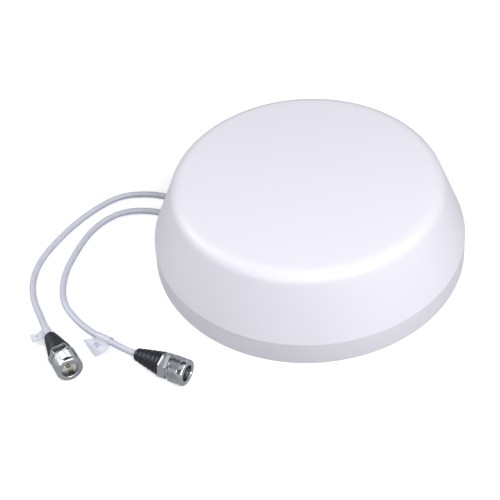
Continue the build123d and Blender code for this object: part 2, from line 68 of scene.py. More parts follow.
out_from_base = Vector(
    (
        math.sin(CAMERA_AZIMUTH) * math.cos(CAMERA_ELEVATION),
        -math.cos(CAMERA_AZIMUTH) * math.cos(CAMERA_ELEVATION),
        math.sin(CAMERA_ELEVATION),
    )
)
camera_place = out_from_base * CAMERA_DISTANCE
bpy.ops.object.camera_add(location=camera_place)
camera = bpy.context.object
camera.name = "camera"
camera.data.lens = LENS_MM
camera.data.clip_start = 0.01
camera.rotation_mode = "QUATERNION"
looking = (CAMERA_AIM - camera_place).to_track_quat("-Z", "Y")
camera.rotation_quaternion = looking @ Quaternion((0, 0, 1), CAMERA_ROLL)
bpy.context.scene.camera = camera
print("camera at", [round(v, 3) for v in camera_place])

# %% [markdown]
# ## The pigtails
# Each pigtail is a thin coaxial cable about 30 cm long. It leaves a gland in the middle of the underside, lies in
# the trough of the base, comes out through the notch in the rim, and runs along the table in one loose bend to its
# connector, where it rises to the connector's axis. A cable bends smoothly, so a NURBS curve of order 3 is the
# natural tool: the route's points pull the curve without the cable ever having a corner. The bevel gives the curve
# its round section.

# %% The routes and the curves
CABLE_D = 4.0 * MM
FLOOR_Z = CABLE_D / 2
ROUTES = [
    [
        (0.0210, 0.0080, 0.0080),
        (0.0060, 0.0080, 0.0080),
        (-0.0120, 0.0082, 0.0044),
        (-0.0330, 0.0076, FLOOR_Z),
        (-0.0550, 0.0072, FLOOR_Z),
        (-0.0770, 0.0076, FLOOR_Z),
        (-0.0986, 0.0077, FLOOR_Z),
        (-0.1195, 0.0070, FLOOR_Z),
        (-0.1392, -0.0015, FLOOR_Z),
        (-0.1495, -0.0191, FLOOR_Z),
        (-0.1557, -0.0373, FLOOR_Z),
        (-0.1590, -0.0558, FLOOR_Z),
        (-0.1601, -0.0742, FLOOR_Z),
        (-0.1560, -0.0915, FLOOR_Z),
        (-0.1455, -0.1071, FLOOR_Z),
        (-0.1342, -0.1167, 0.0025),
        (-0.12519, -0.12507, 0.00380),
        (-0.11481, -0.13273, 0.00545),
    ],
    [
        (0.0210, -0.0080, 0.0080),
        (0.0060, -0.0080, 0.0080),
        (-0.0120, -0.0082, 0.0044),
        (-0.0330, -0.0076, FLOOR_Z),
        (-0.0540, -0.0073, FLOOR_Z),
        (-0.0750, -0.0078, FLOOR_Z),
        (-0.0959, -0.0078, FLOOR_Z),
        (-0.1154, -0.0093, FLOOR_Z),
        (-0.1305, -0.0164, FLOOR_Z),
        (-0.1381, -0.0281, FLOOR_Z),
        (-0.1419, -0.0417, FLOOR_Z),
        (-0.1414, -0.0594, FLOOR_Z),
        (-0.1385, -0.0807, FLOOR_Z),
        (-0.1275, -0.1018, FLOOR_Z),
        (-0.1114, -0.1120, FLOOR_Z),
        (-0.0963, -0.1180, 0.0029),
        (-0.0825, -0.1214, 0.0054),
        (-0.06799, -0.12597, 0.00794),
        (-0.05602, -0.12685, 0.00794),
    ],
]


def cable_curve(name, route):
    """Round cable along one smooth curve that the route's points pull."""
    curve = bpy.data.curves.new(name, "CURVE")
    curve.dimensions = "3D"
    curve.bevel_depth = CABLE_D / 2
    curve.bevel_resolution = 6
    curve.resolution_u = 16
    spline = curve.splines.new("NURBS")
    spline.points.add(len(route) - 1)
    for point, place in zip(spline.points, route):
        point.co = (*place, 1.0)
    spline.order_u = 3
    spline.use_endpoint_u = True
    cable = bpy.data.objects.new(name, curve)
    bpy.context.collection.objects.link(cable)
    return cable


cables = [cable_curve(f"cable_{i + 1}", route) for i, route in enumerate(ROUTES)]
print("cables:", [c.name for c in cables])

# %% [markdown]
# ## Helpers for modelling
# In Blender's edit mode an operator acts on whatever is selected, so each step first says what that is. Two small
# helpers do it: one selects whole objects, and one opens an object in edit mode with nothing selected. Every mesh
# ends with its doubled vertices merged, its faces pointing outwards, and its modifiers and its place applied.

# %% Selecting and editing
def select_only(*objects):
    """Selects these objects alone, the first one active."""
    bpy.ops.object.select_all(action="DESELECT")
    for item in objects:
        item.select_set(True)
    bpy.context.view_layer.objects.active = objects[0]


def open_mesh(piece):
    """Opens one object in edit mode with nothing selected."""
    select_only(piece)
    bpy.ops.object.mode_set(mode="EDIT")
    bpy.ops.mesh.select_mode(type="VERT")
    bpy.ops.mesh.select_all(action="DESELECT")


def close_mesh():
    bpy.ops.object.mode_set(mode="OBJECT")


MERGE_WITHIN = 0.002 * MM


def tidy_mesh(piece):
    """Merges doubled vertices and points every face outwards."""
    open_mesh(piece)
    bpy.ops.mesh.select_all(action="SELECT")
    bpy.ops.mesh.remove_doubles(threshold=MERGE_WITHIN)
    bpy.ops.mesh.normals_make_consistent(inside=False)
    close_mesh()


def apply_all(piece):
    """Applies a piece's modifiers and its place, so that its object is at the origin."""
    select_only(piece)
    for modifier in list(piece.modifiers):
        bpy.ops.object.modifier_apply(modifier=modifier.name)
    bpy.ops.object.transform_apply(location=True, rotation=True, scale=True)


def combine(piece, other, operation):
    """Cuts a piece with another, or trims it to the other's inside. The other is then removed."""
    cut = piece.modifiers.new("cut", "BOOLEAN")
    cut.operation = operation
    cut.solver = "EXACT"
    cut.object = other
    apply_all(piece)
    bpy.data.objects.remove(other)


def smooth(piece, degrees):
    """Shades a piece smooth, but keeps edges sharper than the angle crisp."""
    select_only(piece)
    bpy.ops.object.shade_smooth_by_angle(angle=math.radians(degrees))


print("meshes merge vertices within", MERGE_WITHIN, "m")

# %% [markdown]
# Most pieces here are round, so one more helper turns an outline: it adds a circle and extrudes it from ring to ring,
# moving and scaling it each time, as one would by hand. Another rounds an outline's corners before it is turned.

# %% Outlines and turned pieces
NEARLY_STRAIGHT = math.radians(89.5)
POLE_RATIO = 0.01


def rounded(points, radii, steps=8):
    """Outline through the points with each inner corner made an arc of the given radius."""
    outline = [points[0]]
    corners = zip(points, points[1:], points[2:], radii)
    for before, here, after, radius in corners:
        a, b, c = Vector(before), Vector(here), Vector(after)
        to_a, to_c = (a - b).normalized(), (c - b).normalized()
        half = to_a.angle(to_c) / 2
        if radius <= 0 or half > NEARLY_STRAIGHT:
            outline.append(tuple(b))
            continue
        centre = b + (to_a + to_c).normalized() * (radius / math.sin(half))
        start = b + to_a * (radius / math.tan(half)) - centre
        end = b + to_c * (radius / math.tan(half)) - centre
        sweep = start.angle_signed(end)
        for i in range(steps + 1):
            outline.append(tuple(centre + Matrix.Rotation(-sweep * i / steps, 2) @ start))
    return [*outline, points[-1]]


def turned(name, outline, segments=96):
    """Piece turned about Z from (radius, height) points. A radius of 0 at either end closes it with a pole."""
    rings = [p for p in outline if p[0] > 0]
    bpy.ops.object.select_all(action="DESELECT")
    bpy.ops.mesh.primitive_circle_add(vertices=segments, radius=rings[0][0], location=(0, 0, rings[0][1]))
    piece = bpy.context.object
    piece.name = name
    bpy.ops.object.mode_set(mode="EDIT")
    bpy.ops.mesh.select_mode(type="VERT")
    bpy.ops.mesh.select_all(action="SELECT")

    def next_ring(rise, ratio, height):
        bpy.ops.mesh.extrude_region_move(TRANSFORM_OT_translate={"value": (0, 0, rise)})
        bpy.ops.transform.resize(value=(ratio, ratio, 1), center_override=(0, 0, height))

    for (r0, z0), (r1, z1) in zip(rings, rings[1:]):
        next_ring(z1 - z0, r1 / r0, z1)
    if outline[-1][0] == 0:
        next_ring(outline[-1][1] - rings[-1][1], POLE_RATIO, outline[-1][1])
        bpy.ops.mesh.merge(type="CENTER")
    if outline[0][0] == 0:
        bpy.ops.mesh.select_all(action="DESELECT")
        mesh = bmesh.from_edit_mesh(piece.data)
        for vertex in list(mesh.verts)[:segments]:
            vertex.select_set(True)
        mesh.select_flush(True)
        bmesh.update_edit_mesh(piece.data)
        next_ring(outline[0][1] - rings[0][1], POLE_RATIO, outline[0][1])
        bpy.ops.mesh.merge(type="CENTER")
    close_mesh()
    apply_all(piece)
    tidy_mesh(piece)
    print(name, "has", len(piece.data.polygons), "faces")
    return piece


# %% [markdown]
# ## The dome
# The dome is one injection moulding of white ABS. Its outline is a nearly upright band, a straight slope that leans
# in by 23 degrees, a generous round shoulder and a top that is very slightly crowned, because a flat moulding of
# this size would show every sink mark. It is turned from its outline, inside and outside in one go, so that the
# wall is closed all round. The notch for the pigtails is then cut out of the rim with a rounded cutter and the
# boolean modifier.

# %% Turn the dome
BASE_R = 100.0 * MM
DOME_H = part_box("radome")[1].z
CROWN = 1.5 * MM
BAND_H = 15.75 * MM
BAND_LEAN = 0.9 * MM
SLOPE_LEAN = 16.7 * MM
WALL = 2.5 * MM
SHOULDER_R = 10.0 * MM
CREASE_R = 1.4 * MM
RIM_R = 0.6 * MM
INNER_CREASE_DROP = 0.2 * MM
DOME_SEGMENTS = 256


def crown_points(radius, height, count=8):
    """Points over the crowned top, from its edge to just before its middle."""
    return [(radius * (1 - i / count), height + CROWN * (1 - (1 - i / count) ** 2)) for i in range(1, count)]


def dome_outline():
    shoulder_z = DOME_H - CROWN
    band_r = BASE_R - BAND_LEAN
    shoulder = (band_r - SLOPE_LEAN, shoulder_z)
    outside = rounded(
        [(BASE_R - WALL, 0), (BASE_R, 0), (band_r, BAND_H), shoulder, *crown_points(*shoulder)[:1]],
        [RIM_R, CREASE_R, SHOULDER_R],
        steps=12,
    )
    top = [*crown_points(*shoulder)[1:], (0, DOME_H)]
    slope = math.atan2(shoulder_z - BAND_H, SLOPE_LEAN)
    inner_shoulder = (shoulder[0] - WALL * math.tan(slope / 2), shoulder_z - WALL)
    inside = rounded(
        [(BASE_R - WALL, 0), (band_r - WALL, BAND_H - INNER_CREASE_DROP), inner_shoulder, (1 * MM, DOME_H - WALL)],
        [0, SHOULDER_R - WALL],
        steps=10,
    )
    return [(0, DOME_H - WALL), *reversed(inside[1:-1]), *outside, *top]


dome = turned("dome", dome_outline(), DOME_SEGMENTS)

# %% Cut the notch for the pigtails
NOTCH_W = 26.0 * MM
NOTCH_H = 8.0 * MM
NOTCH_CORNER_R = 2.5 * MM
NOTCH_DEPTH = 24.0 * MM

bpy.ops.object.select_all(action="DESELECT")
bpy.ops.mesh.primitive_cube_add(size=1, location=(-BASE_R, 0, 0), scale=(NOTCH_DEPTH, NOTCH_W, 2 * NOTCH_H))
cutter = bpy.context.object
apply_all(cutter)
open_mesh(cutter)
bpy.ops.mesh.select_mode(type="EDGE")
mesh = bmesh.from_edit_mesh(cutter.data)
for edge in mesh.edges:
    ends = [v.co for v in edge.verts]
    edge.select_set(all(co.z > 0 for co in ends) and abs(ends[0].x - ends[1].x) > MM)
bmesh.update_edit_mesh(cutter.data)
bpy.ops.mesh.bevel(offset=NOTCH_CORNER_R, segments=6, affect="EDGES")
close_mesh()
combine(dome, cutter, "DIFFERENCE")
smooth(dome, 30.0)
print("dome faces after the notch:", len(dome.data.polygons))

# %% [markdown]
# ## The connectors
# Each pigtail ends in a female coaxial jack. From the cable forward it is a ribbed black boot, a hexagon for the
# spanner, a narrow groove, a fine thread and a plain lip round the mouth. All of it is modelled once about Z, with
# the boot's tail at the bottom, and a copy is laid on the table along each cable's last run.

# %% Sizes along the connector's axis
BOOT_L = 18.5 * MM
BOOT_TAIL_R = 3.0 * MM
BOOT_MOUTH_R = 6.9 * MM
BOOT_RIBS = 6
BOOT_RIB_H = 0.60 * MM
HEX_FLATS = 14.0 * MM
HEX_L = 4.8 * MM
HEX_CHAMFER = 0.5 * MM
GROOVE_R = 6.8 * MM
GROOVE_L = 1.0 * MM
THREAD_R = 7.9375 * MM
THREAD_PITCH = 1.058 * MM
THREAD_TURNS = 7
THREAD_DEPTH = 0.6 * MM
LIP_L = 3.0 * MM
LIP_CHAMFER = 0.8 * MM
BORE_R = 4.9 * MM
BORE_DEPTH = 9.0 * MM
INSULATOR_L = 5.0 * MM
CABLE_IN_BOOT = 4.0 * MM
NECK_R = 6.0 * MM
NECK_HOLE_R = 5.9 * MM

hex_z = BOOT_L
groove_z = hex_z + HEX_L
thread_z = groove_z + GROOVE_L
lip_z = thread_z + THREAD_TURNS * THREAD_PITCH
face_z = lip_z + LIP_L
print("connector length:", round(face_z / MM, 2), "mm")

# %% [markdown]
# The boot's ribs are full in the middle and narrow in the valleys, as on a moulded strain relief. A sine raised to a
# power below one has that shape.

# %% The boot
RIB_STEPS = 12
RIB_FULLNESS = 0.45
CONE_FULLNESS = 0.9


def boot_outline():
    """Cone with soft ribs, closed over the cable at its tail and over the connector's neck at its mouth."""
    mouth_z = BOOT_L + 0.15 * MM
    outline = [
        (0, 0.5 * MM),
        (CABLE_D / 2 + 0.1 * MM, 0.25 * MM),
        (BOOT_TAIL_R - 0.5 * MM, 0),
        (BOOT_TAIL_R, 0.35 * MM),
    ]
    for i in range(1, BOOT_RIBS * RIB_STEPS + 1):
        share = i / (BOOT_RIBS * RIB_STEPS)
        wave = math.sin(math.pi * (i % RIB_STEPS) / RIB_STEPS) ** RIB_FULLNESS
        cone = BOOT_TAIL_R + (BOOT_MOUTH_R - BOOT_TAIL_R) * share**CONE_FULLNESS
        outline.append((cone + BOOT_RIB_H * wave, BOOT_L * share))
    return [*outline, (BOOT_MOUTH_R - 1.0 * MM, mouth_z), (0, mouth_z)]


boot = turned("boot", boot_outline(), 64)
smooth(boot, 60.0)

# %% [markdown]
# The hexagon starts as a six-sided cylinder. On the real part its corners are turned off at both ends on the lathe,
# which leaves a curved edge on every flat. Intersecting the bar with a double-chamfered turned body does the same
# here. A small bevel then gives the edges something to catch the light with.

# %% The hexagon
def chamfered_body(name, radius, z0, z1, chamfer):
    """Round bar from z0 to z1 with a 30-degree chamfer at both ends."""
    rise = chamfer * math.tan(math.radians(30))
    neck = radius - chamfer
    outline = [(0, z0), (neck, z0), (radius, z0 + rise), (radius, z1 - rise), (neck, z1), (0, z1)]
    return turned(name, outline)


EDGE_BEVEL = 0.12 * MM
CLEARANCE = 0.01 * MM
corner_r = HEX_FLATS / 2 / math.cos(math.pi / 6)
bpy.ops.object.select_all(action="DESELECT")
bpy.ops.mesh.primitive_cylinder_add(
    vertices=6, radius=corner_r, depth=HEX_L, location=(0, 0, hex_z + HEX_L / 2), rotation=(0, 0, math.radians(30))
)
hexagon = bpy.context.object
hexagon.name = "hexagon"
apply_all(hexagon)
envelope_r = corner_r + 2 * CLEARANCE
envelope = chamfered_body("envelope", envelope_r, hex_z - CLEARANCE, groove_z + CLEARANCE, HEX_CHAMFER)
combine(hexagon, envelope, "INTERSECT")
bpy.ops.object.select_all(action="DESELECT")
bpy.ops.mesh.primitive_cylinder_add(vertices=96, radius=NECK_HOLE_R, depth=4 * HEX_L, location=(0, 0, hex_z))
combine(hexagon, bpy.context.object, "DIFFERENCE")
tidy_mesh(hexagon)
edges = hexagon.modifiers.new("edges", "BEVEL")
edges.width = EDGE_BEVEL
edges.segments = 2
edges.limit_method = "ANGLE"
edges.angle_limit = math.radians(20)
apply_all(hexagon)
smooth(hexagon, 30.0)
print("hexagon faces:", len(hexagon.data.polygons))

# %% [markdown]
# A thread is a small zigzag that climbs as it goes round, which is exactly what the screw modifier makes: one tooth
# of the outline, turned through 360 degrees with a rise of one pitch, repeated for each turn. The barrel behind it,
# with the groove, the lip, the bore and the shoulder inside, is turned in one piece.

# %% The thread
root_r = THREAD_R - THREAD_DEPTH
ROOT_SUNK = 0.05 * MM


def screw_thread():
    """Helical ridge with flattened crests. Its root runs just inside the barrel's surface."""
    tooth = [
        (root_r - ROOT_SUNK, 0.0),
        (root_r, 0.08 * THREAD_PITCH),
        (THREAD_R, 0.42 * THREAD_PITCH),
        (THREAD_R, 0.58 * THREAD_PITCH),
        (root_r, 0.92 * THREAD_PITCH),
        (root_r - ROOT_SUNK, THREAD_PITCH),
    ]
    bpy.ops.object.select_all(action="DESELECT")
    bpy.ops.mesh.primitive_plane_add(size=0.1 * MM, location=(0, 0, 0))
    piece = bpy.context.object
    piece.name = "thread"
    open_mesh(piece)
    bpy.ops.mesh.select_all(action="SELECT")
    bpy.ops.mesh.merge(type="CENTER")
    bpy.ops.transform.translate(value=(tooth[0][0], 0, tooth[0][1]))
    for (r0, z0), (r1, z1) in zip(tooth, tooth[1:]):
        bpy.ops.mesh.extrude_region_move(TRANSFORM_OT_translate={"value": (r1 - r0, 0, z1 - z0)})
    close_mesh()
    screw = piece.modifiers.new("thread", "SCREW")
    screw.axis = "Z"
    screw.screw_offset = THREAD_PITCH
    screw.iterations = THREAD_TURNS - 1
    screw.steps = screw.render_steps = 64
    screw.use_merge_vertices = False
    apply_all(piece)
    open_mesh(piece)
    bpy.ops.mesh.select_all(action="SELECT")
    bpy.ops.transform.translate(value=(0, 0, thread_z + 0.2 * THREAD_PITCH))
    close_mesh()
    tidy_mesh(piece)
    smooth(piece, 40.0)
    return piece


thread = screw_thread()
print("thread faces:", len(thread.data.polygons))

# %% The barrel
bore_end = face_z - BORE_DEPTH - INSULATOR_L
barrel_points = [
    (0, hex_z + 0.5 * MM),
    (NECK_R, hex_z + 0.5 * MM),
    (NECK_R, groove_z - 0.3 * MM),
    (GROOVE_R, groove_z - 0.3 * MM),
    (GROOVE_R, thread_z),
    (root_r, thread_z + 0.25 * MM),
    (root_r, lip_z - 0.1 * MM),
    (THREAD_R, lip_z + 0.35 * MM),
    (THREAD_R, face_z),
    (BORE_R, face_z),
    (BORE_R, bore_end),
    (0, bore_end),
]
barrel_radii = [0, 0, 0, 0.15 * MM, 0.1 * MM, 0.1 * MM, 0.15 * MM, LIP_CHAMFER, 0.35 * MM, 0.1 * MM]
barrel = turned("barrel", rounded(barrel_points, barrel_radii, steps=4))
for _ in range(2):
    barrel.data.materials.append(None)
in_the_bore = 0
for face in barrel.data.polygons:
    across = math.hypot(face.center.x, face.center.y)
    if across < BORE_R + CLEARANCE and face.center.z > bore_end - CLEARANCE:
        face.material_index = 1
        in_the_bore += 1
smooth(barrel, 30.0)
print("barrel faces in the bore:", in_the_bore)

# %% [markdown]
# One copy of the boot and one of the metal body are laid at the end of each cable. The cable's last run gives the
# axis: the boot's tail is a few millimetres back from the cable's end. The metal pieces are joined into one, and
# each copy's place is applied to its mesh.

# %% Lay the connectors on the table
CONNECTOR_ROLLS = [0.0, 13.0]


def connector_frame(route, roll):
    """Where a connector built about Z goes: the boot's tail, turned along the cable's last run, and rolled."""
    end, before = Vector(route[-1]), Vector(route[-2])
    forward = (end - before).normalized()
    side = Vector((0, 0, 1)).cross(forward).normalized()
    turn = Matrix((side, forward.cross(side), forward)).transposed()
    rolled = turn.to_4x4() @ Matrix.Rotation(math.radians(roll), 4, "Z")
    return Matrix.Translation(end - forward * CABLE_IN_BOOT) @ rolled


def laid_copy(source, name, place):
    """Copy of a piece with a mesh of its own, laid at a place that is applied to that mesh."""
    piece = source.copy()
    piece.data = source.data.copy()
    piece.name = piece.data.name = name
    bpy.context.collection.objects.link(piece)
    piece.matrix_world = place
    apply_all(piece)
    return piece


select_only(barrel, thread, hexagon)
bpy.ops.object.join()
jack = barrel
boots, jacks = [], []
for i, route in enumerate(ROUTES):
    place = connector_frame(route, CONNECTOR_ROLLS[i])
    boots.append(laid_copy(boot, f"boot_sleeve_{i + 1}", place))
    jacks.append(laid_copy(jack, f"jack_{i + 1}", place))
for pattern in (boot, jack):
    bpy.data.objects.remove(pattern)
print("connectors:", [p.name for p in (*boots, *jacks)])

# %% [markdown]
# Inside each mouth sit a white PTFE insulator and a gilt centre contact. The contact is a small tube with four
# slots, so that it can spring round the pin of a plug.

# %% The insulators and the contacts
CONTACT_R = 1.5 * MM
CONTACT_BORE_R = 0.85 * MM
CONTACT_RECESS = 3.0 * MM
INSULATOR_GAP = 0.02 * MM
SAW_BLADE = (6.0 * MM, 0.3 * MM, 5.0 * MM)

insulator_outline = rounded(
    [
        (0, bore_end),
        (BORE_R - INSULATOR_GAP, bore_end),
        (BORE_R - INSULATOR_GAP, bore_end + INSULATOR_L),
        (0, bore_end + INSULATOR_L),
    ],
    [0, 0.25 * MM],
    steps=4,
)
insulator = turned("insulator", insulator_outline, 64)
smooth(insulator, 40.0)

contact_end = face_z - CONTACT_RECESS
contact_outline = rounded(
    [
        (0, bore_end + 1 * MM),
        (CONTACT_R, bore_end + 1 * MM),
        (CONTACT_R, contact_end),
        (CONTACT_BORE_R, contact_end),
        (CONTACT_BORE_R, bore_end + 1.5 * MM),
        (0, bore_end + 1.5 * MM),
    ],
    [0, 0.15 * MM, 0.15 * MM, 0],
    steps=4,
)
contact = turned("contact", contact_outline, 48)
for angle in (0, 90):
    bpy.ops.object.select_all(action="DESELECT")
    bpy.ops.mesh.primitive_cube_add(
        size=1, location=(0, 0, contact_end), scale=SAW_BLADE, rotation=(0, 0, math.radians(angle))
    )
    combine(contact, bpy.context.object, "DIFFERENCE")
smooth(contact, 30.0)

insulators, contacts = [], []
for i, route in enumerate(ROUTES):
    place = connector_frame(route, CONNECTOR_ROLLS[i])
    insulators.append(laid_copy(insulator, f"ptfe_insulator_{i + 1}", place))
    contacts.append(laid_copy(contact, f"centre_contact_{i + 1}", place))
for pattern in (insulator, contact):
    bpy.data.objects.remove(pattern)
print("inner pieces:", [p.name for p in (*insulators, *contacts)])

# %% [markdown]
# ## The flag labels
# Near each connector a clear-white film label is folded round the cable and stuck to itself, so that it stands off
# like a small flag. The film starts at the free edge, runs in to the cable, goes round it, and comes back out
# to the free edge. A grid is laid along that path: across the grid is the width of the label, and along it is the
# path. A thin solidify gives it the thickness of film.

# %% Lay the film
LABEL_LOOP_R = CABLE_D / 2 + 0.30 * MM
FLAG_ROOT = 1.05 * LABEL_LOOP_R
FILM_T = 0.14 * MM
FILM_GAP = 0.10 * MM
LOOP_SHARE = 0.3
LOOP_HALF_TURN = math.radians(168)


class Flag:
    """A folded label: where it holds the cable, its width, and the two corners of its free edge."""

    def __init__(self, route, run, share, width, tips, bulge, belly, dent):
        a, b = Vector(route[run]), Vector(route[run + 1])
        self.hold = a.lerp(b, share)
        self.along = (b - a).normalized()
        self.out = self.along.cross(Vector((0, 0, 1))).normalized()
        self.up = self.out.cross(self.along).normalized()
        self.width = width
        self.tips = [Vector(tip) for tip in tips]
        self.bulge, self.belly, self.dent = bulge, belly, dent

    def flat(self, reach, across, layer=0.0):
        """Point on the flag: reach 0 at the cable and 1 at the free edge, across from -0.5 to 0.5."""
        root = self.hold + self.along * (across * self.width) + self.out * FLAG_ROOT
        tip = self.tips[0].lerp(self.tips[1], across + 0.5)
        arch = 4 * reach * (1 - reach)
        place = root.lerp(tip, reach) + self.up * (arch * self.bulge)
        place += self.along * (arch * ((across + 0.5) * self.belly + (0.5 - across) * self.dent))
        return place + self.up * layer

    def film(self, step, across):
        """Point on the film's whole path: step goes from -1 at one free edge to 1 at the other."""
        side = 1.0 if step > 0 else -1.0
        if abs(step) > LOOP_SHARE:
            return self.flat((abs(step) - LOOP_SHARE) / (1 - LOOP_SHARE), across, side * FILM_GAP)
        turn = LOOP_HALF_TURN * step / LOOP_SHARE
        offset = self.out * (-math.cos(turn)) + self.up * math.sin(turn)
        return self.hold + self.along * (across * self.width) + offset * LABEL_LOOP_R


def lay_film(name, flag):
    """Film label: a grid laid along the flag's path, and given the thickness of film."""
    bpy.ops.object.select_all(action="DESELECT")
    bpy.ops.mesh.primitive_grid_add(x_subdivisions=120, y_subdivisions=20, size=2)
    piece = bpy.context.object
    piece.name = name
    for vertex in piece.data.vertices:
        vertex.co = flag.film(vertex.co.x, vertex.co.y / 2)
    film = piece.modifiers.new("film", "SOLIDIFY")
    film.thickness = FILM_T
    film.offset = 0
    apply_all(piece)
    tidy_mesh(piece)
    smooth(piece, 40.0)
    return piece


FLAG_TIPS = [
    [(-0.13231, -0.13178, 0.0018), (-0.12790, -0.13606, 0.0014)],
    [(-0.09775, -0.12556, 0.0044), (-0.08592, -0.13258, 0.0012)],
]
flags = [
    Flag(ROUTES[0], 16, 0.35, 7.6 * MM, FLAG_TIPS[0], bulge=0.6 * MM, belly=0.6 * MM, dent=1.6 * MM),
    Flag(ROUTES[1], 15, 0.80, 10.6 * MM, FLAG_TIPS[1], bulge=0.8 * MM, belly=3.0 * MM, dent=1.5 * MM),
]
labels = [lay_film(f"label_{i + 1}", flag) for i, flag in enumerate(flags)]
print("labels:", [(p.name, len(p.data.polygons)) for p in labels])

# %% [markdown]
# Each label carries a small port number. It is typed as text, turned into a mesh, divided finely enough to bend, and
# laid on the flag just above the film.

# %% Print the port numbers
MARK_H = 3.2 * MM
MARK_REACH = 0.55
MARK_LIFT = FILM_GAP + FILM_T / 2 + 0.015 * MM


def print_mark(name, text, flag):
    """Number printed on a flag, as a mesh that follows the film just above it."""
    bpy.ops.object.select_all(action="DESELECT")
    bpy.ops.object.text_add()
    typed = bpy.context.object
    typed.data.body = text
    typed.data.size = MARK_H
    typed.data.align_x = "CENTER"
    typed.data.align_y = "CENTER"
    typed.data.resolution_u = 4
    bpy.ops.object.convert(target="MESH")
    piece = bpy.context.object
    piece.name = name
    open_mesh(piece)
    bpy.ops.mesh.select_all(action="SELECT")
    bpy.ops.mesh.remove_doubles(threshold=MERGE_WITHIN)
    bpy.ops.mesh.quads_convert_to_tris()
    bpy.ops.mesh.subdivide(number_cuts=2)
    close_mesh()
    length = (flag.flat(1, 0) - flag.flat(0, 0)).length
    for vertex in piece.data.vertices:
        across, down = vertex.co.x / flag.width, -vertex.co.y / length
        vertex.co = flag.flat(MARK_REACH + down, across, MARK_LIFT)
    apply_all(piece)
    return piece


marks = [print_mark(f"mark_{i + 1}", f"0{i + 1}", flag) for i, flag in enumerate(flags)]
print("marks:", [(p.name, len(p.data.polygons)) for p in marks])

# %% [markdown]
# ## Materials
# Every finish is made from nodes on object coordinates, whose unit is the metre, so a pattern's scale is one over
# its real size. One helper adds a node and sets its inputs, and one turns a hex colour into the linear values that
# Blender works in.

# %% Material helpers
def colour(code):
    """Linear colour from an sRGB hex code."""
    parts = [int(code[i : i + 2], 16) / 255 for i in (1, 3, 5)]
    return (*[p / 12.92 if p <= 0.04045 else ((p + 0.055) / 1.055) ** 2.4 for p in parts], 1.0)


def add_node(material, kind, place, inputs=(), **settings):
    """Adds a node at a place in the editor and sets its properties and its unlinked inputs."""
    node = material.node_tree.nodes.new(kind)
    node.location = place
    for name, value in settings.items():
        setattr(node, name, value)
    for name, value in dict(inputs).items():
        node.inputs[name].default_value = value
    return node


def finish(name, base, roughness, grain, grain_depth, metallic=0.0, tint=0.04, spread=0.06, blotch=3.0, ior=1.5):
    """Plain finish: a base colour that varies a little, a roughness that varies a little, and a fine surface grain.
    grain and blotch are sizes in mm, and grain_depth is the grain's height in mm."""
    material = bpy.data.materials.new(name)
    material.use_nodes = True
    tree = material.node_tree
    shader = tree.nodes["Principled BSDF"]
    shader.inputs["Metallic"].default_value = metallic
    if not metallic:
        shader.inputs["IOR"].default_value = ior
    link = tree.links.new
    place = add_node(material, "ShaderNodeTexCoord", (-1100, 0))
    patches = add_node(
        material, "ShaderNodeTexNoise", (-900, 150), {"Scale": 1 / (blotch * MM), "Detail": 3.0, "Roughness": 0.55}
    )
    fine = add_node(
        material, "ShaderNodeTexNoise", (-900, -250), {"Scale": 1 / (grain * MM), "Detail": 4.0, "Roughness": 0.6}
    )
    shade = add_node(material, "ShaderNodeMapRange", (-650, 300), {"To Min": 1 - tint / 2, "To Max": 1 + tint / 2})
    tinted = add_node(
        material, "ShaderNodeMix", (-400, 300), {"Factor": 1.0}, data_type="RGBA", blend_type="MULTIPLY"
    )
    tinted.inputs["A"].default_value = colour(base)
    rough = add_node(
        material, "ShaderNodeMapRange", (-400, 20), {"To Min": roughness - spread / 2, "To Max": roughness + spread / 2}
    )
    bump = add_node(material, "ShaderNodeBump", (-400, -250), {"Strength": 1.0, "Distance": grain_depth * MM})
    link(place.outputs["Object"], patches.inputs["Vector"])
    link(place.outputs["Object"], fine.inputs["Vector"])
    link(patches.outputs["Fac"], shade.inputs["Value"])
    link(shade.outputs["Result"], tinted.inputs["B"])
    link(tinted.outputs["Result"], shader.inputs["Base Color"])
    link(patches.outputs["Fac"], rough.inputs["Value"])
    link(rough.outputs["Result"], shader.inputs["Roughness"])
    link(fine.outputs["Fac"], bump.inputs["Height"])
    link(bump.outputs["Normal"], shader.inputs["Normal"])
    return material


# %% [markdown]
# The dome's ABS has the fine spark-eroded grain of most housings: grains a little under half a millimetre across and
# a few microns deep. The white is a cool one. The jacket and the labels are smoother, and the boot's rubber has a
# low sheen.

# %% Plastics and rubber
abs_white = finish("white moulded ABS", "#E9E8F2", 0.42, 0.45, 0.004, tint=0.012, spread=0.05, blotch=30.0)
jacket = finish("white FEP cable jacket", "#C8CBDA", 0.36, 2.5, 0.02, tint=0.03, spread=0.08, blotch=12.0)
rubber = finish("black moulded rubber", "#080D1A", 0.38, 0.3, 0.002, tint=0.25, spread=0.12, blotch=4.0)
ptfe = finish("white PTFE", "#EDEAE4", 0.45, 0.6, 0.003, tint=0.02, blotch=3.0, ior=1.35)
# The label film is white. Its grey-blue colour here is painted shade, so that the flags read darker than the paper.
film = finish("polyester label film, greyed as painted shade", "#CFD2DE", 0.34, 4.0, 0.02, tint=0.02, blotch=5.0)
nylon = finish("natural nylon", "#E6E0CF", 0.45, 0.5, 0.004, tint=0.04, blotch=8.0)
black_nylon = finish("black nylon", "#202124", 0.42, 0.4, 0.004, tint=0.15, blotch=6.0)
ink = finish("dark label ink", "#23242C", 0.5, 0.1, 0.001, tint=0.1, blotch=1.0)
